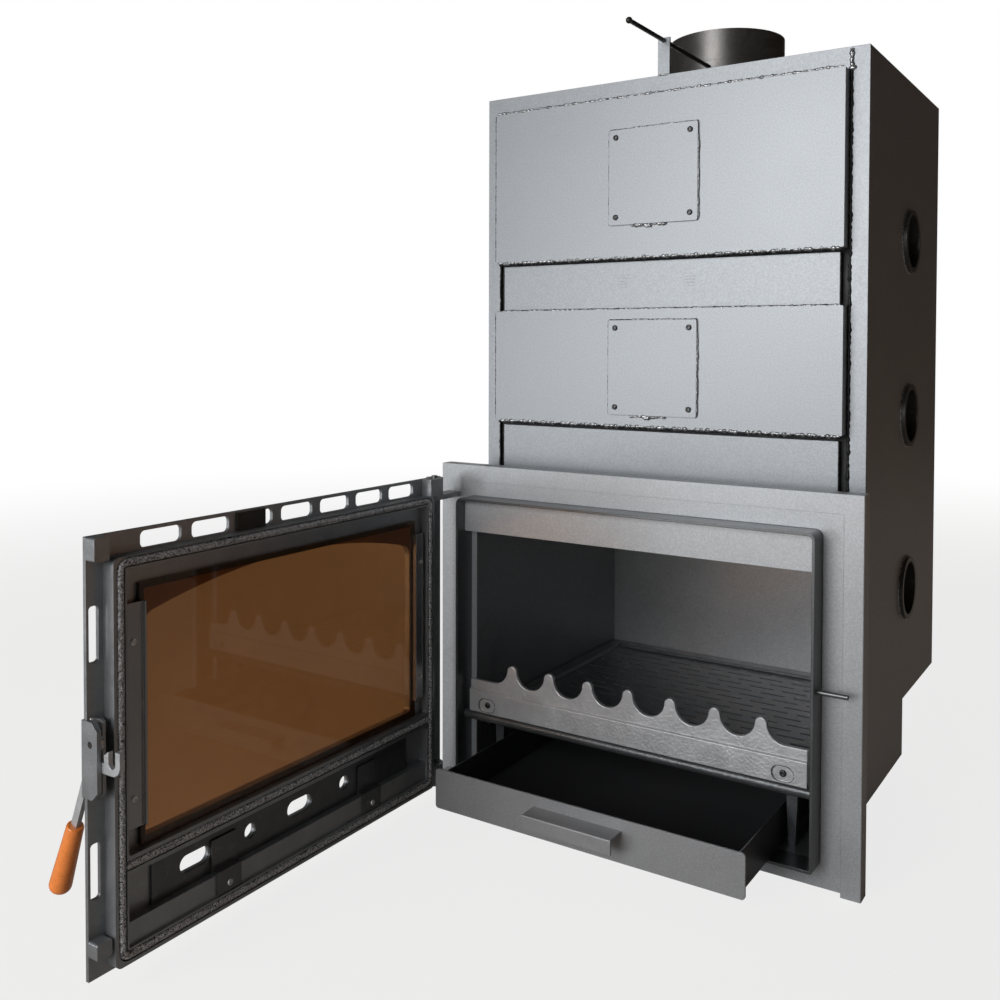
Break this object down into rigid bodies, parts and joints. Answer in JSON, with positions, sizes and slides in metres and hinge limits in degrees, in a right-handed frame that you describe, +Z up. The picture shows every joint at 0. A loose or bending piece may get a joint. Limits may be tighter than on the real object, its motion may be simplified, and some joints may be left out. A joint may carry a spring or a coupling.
{
  "type": "wood boiler fireplace insert",
  "caption": "Steel wood-burning boiler fireplace insert with a water jacket, glazed cast door on side hinges, ash drawer, slotted grate, side water sockets and a damped flue collar.",
  "frame": {"origin": "on the floor under the flue collar's axis, in the middle of the base frame's middle cross bar", "axes": "+Z up along the flue; the facade and the door look along -Y; +X to the right of a person who faces the stove, so the door hangs on the -X side"},
  "size_m": [0.7531, 1.3021, 1.297],
  "materials": {
    "body_paint": "satin grey heat-resistant coat",
    "raw_steel": "dark bare steel with mill scale",
    "iron": "matt as-cast",
    "zinc": "zinc-plated",
    "window": "amber heat-proof glass",
    "rope": "braided glass-fibre rope",
    "seal": "pressed fibre gasket",
    "grip": "smooth orange"
  },
  "bodies": {
    "stove": {"jacket_side_left": "body_paint", "jacket_side_right": "body_paint", "jacket_back": "body_paint", "jacket_top": "body_paint", "jacket_front_upper": "body_paint", "jacket_front_lower": "body_paint", "step_cover": "body_paint", "jacket_bottom": "body_paint", "firebox_shell": "raw_steel", "water_pocket_lower": "raw_steel", "water_pocket_upper": "raw_steel", "pocket_face_lower": "body_paint", "pocket_face_upper": "body_paint", "front_panel_lower": "body_paint", "front_panel_upper": "body_paint", "hatch_cover_lower": "body_paint", "hatch_cover_upper": "body_paint", "hatch_gaskets": "seal", "hatch_screws": "zinc", "baffle_rails": "raw_steel", "smoke_baffle": "iron", "ash_floor": "raw_steel", "base_frame": "body_paint", "flue_collar": "body_paint", "damper_bracket": "body_paint", "side_sockets_left": "raw_steel", "side_sockets_right": "raw_steel", "facade_trim": "body_paint", "facade_plate": "body_paint", "mouth_collar": "body_paint", "lintel": "body_paint", "grate_rails": "raw_steel", "grate_bed": "iron", "grate_ledge": "iron", "log_retainer": "iron", "retainer_screws": "zinc", "hinge_brackets": "raw_steel", "hinge_pins": "zinc", "striker_pin": "zinc"},
    "door": {"door_casting": "iron", "door_glass": "window", "glass_gasket": "seal", "glass_strips": "zinc", "strip_screws": "zinc", "rope_outer": "rope", "rope_middle": "rope", "slot_cover": "zinc", "slide_clips": "zinc", "clip_screws": "zinc", "latch_pivot": "zinc"},
    "latch": {"latch_lever": "raw_steel", "latch_grip": "grip"},
    "air_slide": {"air_slide": "zinc", "air_knob": "grip"},
    "drawer": {"drawer_tray": "raw_steel", "drawer_front": "body_paint", "drawer_handle": "body_paint"},
    "damper_rod": {"damper_rod": "zinc"},
    "damper_flap": {"damper_flap": "raw_steel"}
  },
  "joints": [
    {"name": "door_hinge", "type": "hinge", "parent": "stove", "child": "door", "pos_m": [-0.325, -0.446, 0.28], "axis": [0, 0, -1], "range_deg": [-90, 20]},
    {"name": "latch_pivot", "type": "hinge", "parent": "door", "child": "latch", "pos_m": [-0.32, -1.09, 0.3], "axis": [0, 1, 0], "range_deg": [0, 32]},
    {"name": "air_slide", "type": "slide", "parent": "door", "child": "air_slide", "axis": [0, -1, 0], "range_m": [0, 0.04]},
    {"name": "drawer_slide", "type": "slide", "parent": "stove", "child": "drawer", "axis": [0, -1, 0], "range_m": [-0.166, 0.0369]},
    {"name": "damper_pull", "type": "slide", "parent": "stove", "child": "damper_rod", "axis": [0, 1, 0], "range_m": [0, 0.04]},
    {"name": "damper_turn", "type": "hinge", "parent": "stove", "child": "damper_flap", "pos_m": [0, 0, 1.19], "axis": [-1, 0, 0], "range_deg": [0, 65]}
  ],
  "couplings": [
    {"joint": "drawer_slide", "follows": "door_hinge", "m_per_rad": 0.10568},
    {"joint": "damper_turn", "follows": "damper_pull", "rad_per_m": 28.36}
  ]
}
